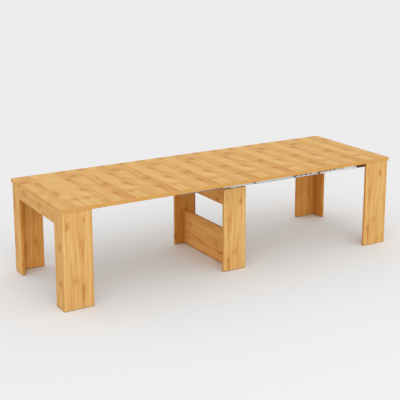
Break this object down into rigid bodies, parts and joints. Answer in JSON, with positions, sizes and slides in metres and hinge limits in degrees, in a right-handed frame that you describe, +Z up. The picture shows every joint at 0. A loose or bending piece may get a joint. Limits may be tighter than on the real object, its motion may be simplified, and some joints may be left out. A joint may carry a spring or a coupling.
{
  "type": "extending console table",
  "caption": "Console table drawn out to a long dining table: half tops on L-shaped legs, loose leaves on telescopic aluminium rails and a centre support.",
  "frame": {"origin": "on the floor under the middle of the table", "axes": "+X along the table's length, to the right as seen from the near long side; +Y to the far long side; +Z up"},
  "size_m": [3, 0.99, 0.756],
  "materials": {
    "oak_board": "satin",
    "dark_wood": "satin",
    "aluminium": "satin",
    "black_plastic": "matte"
  },
  "bodies": {
    "centre_support": {"centre_near_panel": "oak_board", "centre_far_panel": "oak_board", "centre_lower_board": "oak_board", "centre_upper_board": "oak_board", "centre_rail_blocks": "aluminium", "centre_glides": "black_plastic", "rail_5_near": "aluminium", "rail_5_far": "aluminium", "rail_5_caps": "black_plastic"},
    "right_stage_1": {"rail_6_near": "aluminium", "rail_6_far": "aluminium", "rail_6_caps": "black_plastic"},
    "right_stage_2": {"rail_7_near": "aluminium", "rail_7_far": "aluminium", "rail_7_caps": "black_plastic"},
    "right_stage_3": {"rail_8_near": "aluminium", "rail_8_far": "aluminium", "rail_8_caps": "black_plastic"},
    "right_frame": {"right_half_top": "oak_board", "right_near_long_panel": "oak_board", "right_far_long_panel": "oak_board", "right_near_narrow_panel": "oak_board", "right_far_narrow_panel": "oak_board", "right_apron": "oak_board", "right_near_rail_strip": "dark_wood", "right_far_rail_strip": "dark_wood", "right_glides": "black_plastic", "rail_9_near": "aluminium", "rail_9_far": "aluminium"},
    "left_stage_1": {"rail_4_near": "aluminium", "rail_4_far": "aluminium", "rail_4_caps": "black_plastic"},
    "left_stage_2": {"rail_3_near": "aluminium", "rail_3_far": "aluminium", "rail_3_caps": "black_plastic"},
    "left_stage_3": {"rail_2_near": "aluminium", "rail_2_far": "aluminium", "rail_2_caps": "black_plastic"},
    "left_frame": {"left_half_top": "oak_board", "left_near_long_panel": "oak_board", "left_far_long_panel": "oak_board", "left_near_narrow_panel": "oak_board", "left_far_narrow_panel": "oak_board", "left_apron": "oak_board", "left_near_rail_strip": "dark_wood", "left_far_rail_strip": "dark_wood", "left_glides": "black_plastic", "rail_1_near": "aluminium", "rail_1_far": "aluminium"},
    "leaf_1": {"leaf_1": "oak_board"},
    "leaf_2": {"leaf_2": "oak_board"},
    "leaf_3": {"leaf_3": "oak_board"},
    "leaf_4": {"leaf_4": "oak_board"},
    "leaf_5": {"leaf_5": "oak_board"},
    "leaf_6": {"leaf_6": "oak_board"},
    "leaf_7": {"leaf_7": "oak_board"}
  },
  "joints": [
    {"name": "right_slide_1", "type": "slide", "parent": "centre_support", "child": "right_stage_1", "axis": [-1, 0, 0], "range_m": [0, 0.3]},
    {"name": "right_slide_2", "type": "slide", "parent": "right_stage_1", "child": "right_stage_2", "axis": [-1, 0, 0], "range_m": [0, 0.382]},
    {"name": "right_slide_3", "type": "slide", "parent": "right_stage_2", "child": "right_stage_3", "axis": [-1, 0, 0], "range_m": [0, 0.241]},
    {"name": "right_slide_4", "type": "slide", "parent": "right_stage_3", "child": "right_frame", "axis": [-1, 0, 0], "range_m": [0, 0.24481]},
    {"name": "left_slide_1", "type": "slide", "parent": "centre_support", "child": "left_stage_1", "axis": [1, 0, 0], "range_m": [0, 0.382]},
    {"name": "left_slide_2", "type": "slide", "parent": "left_stage_1", "child": "left_stage_2", "axis": [1, 0, 0], "range_m": [0, 0.32194]},
    {"name": "left_slide_3", "type": "slide", "parent": "left_stage_2", "child": "left_stage_3", "axis": [1, 0, 0], "range_m": [0, 0.32194]},
    {"name": "left_slide_4", "type": "slide", "parent": "left_stage_3", "child": "left_frame", "axis": [1, 0, 0], "range_m": [0, 0.32194]},
    {"name": "leaf_1_lift", "type": "slide", "parent": "centre_support", "child": "leaf_1", "axis": [0, 0, 1], "range_m": [0, 0.45]},
    {"name": "leaf_2_lift", "type": "slide", "parent": "centre_support", "child": "leaf_2", "axis": [0, 0, 1], "range_m": [0, 0.45]},
    {"name": "leaf_3_lift", "type": "slide", "parent": "centre_support", "child": "leaf_3", "axis": [0, 0, 1], "range_m": [0, 0.45]},
    {"name": "leaf_4_lift", "type": "slide", "parent": "centre_support", "child": "leaf_4", "axis": [0, 0, 1], "range_m": [0, 0.45]},
    {"name": "leaf_5_lift", "type": "slide", "parent": "centre_support", "child": "leaf_5", "axis": [0, 0, 1], "range_m": [0, 0.45]},
    {"name": "leaf_6_lift", "type": "slide", "parent": "centre_support", "child": "leaf_6", "axis": [0, 0, 1], "range_m": [0, 0.45]},
    {"name": "leaf_7_lift", "type": "slide", "parent": "centre_support", "child": "leaf_7", "axis": [0, 0, 1], "range_m": [0, 0.45]}
  ],
  "couplings": [
    {"joint": "right_slide_1", "follows": "right_slide_3", "ratio": 1.2448},
    {"joint": "right_slide_2", "follows": "right_slide_3", "ratio": 1.5851},
    {"joint": "right_slide_4", "follows": "right_slide_3", "ratio": 1.0158},
    {"joint": "left_slide_1", "follows": "right_slide_3", "ratio": 1.5851},
    {"joint": "left_slide_2", "follows": "right_slide_3", "ratio": 1.3358},
    {"joint": "left_slide_3", "follows": "right_slide_3", "ratio": 1.3358},
    {"joint": "left_slide_4", "follows": "right_slide_3", "ratio": 1.3358},
    {"joint": "leaf_1_lift", "follows": "right_slide_3", "ratio": 1.8672},
    {"joint": "leaf_2_lift", "follows": "right_slide_3", "ratio": 1.8672},
    {"joint": "leaf_3_lift", "follows": "right_slide_3", "ratio": 1.8672},
    {"joint": "leaf_4_lift", "follows": "right_slide_3", "ratio": 1.8672},
    {"joint": "leaf_5_lift", "follows": "right_slide_3", "ratio": 1.8672},
    {"joint": "leaf_6_lift", "follows": "right_slide_3", "ratio": 1.8672},
    {"joint": "leaf_7_lift", "follows": "right_slide_3", "ratio": 1.8672}
  ]
}
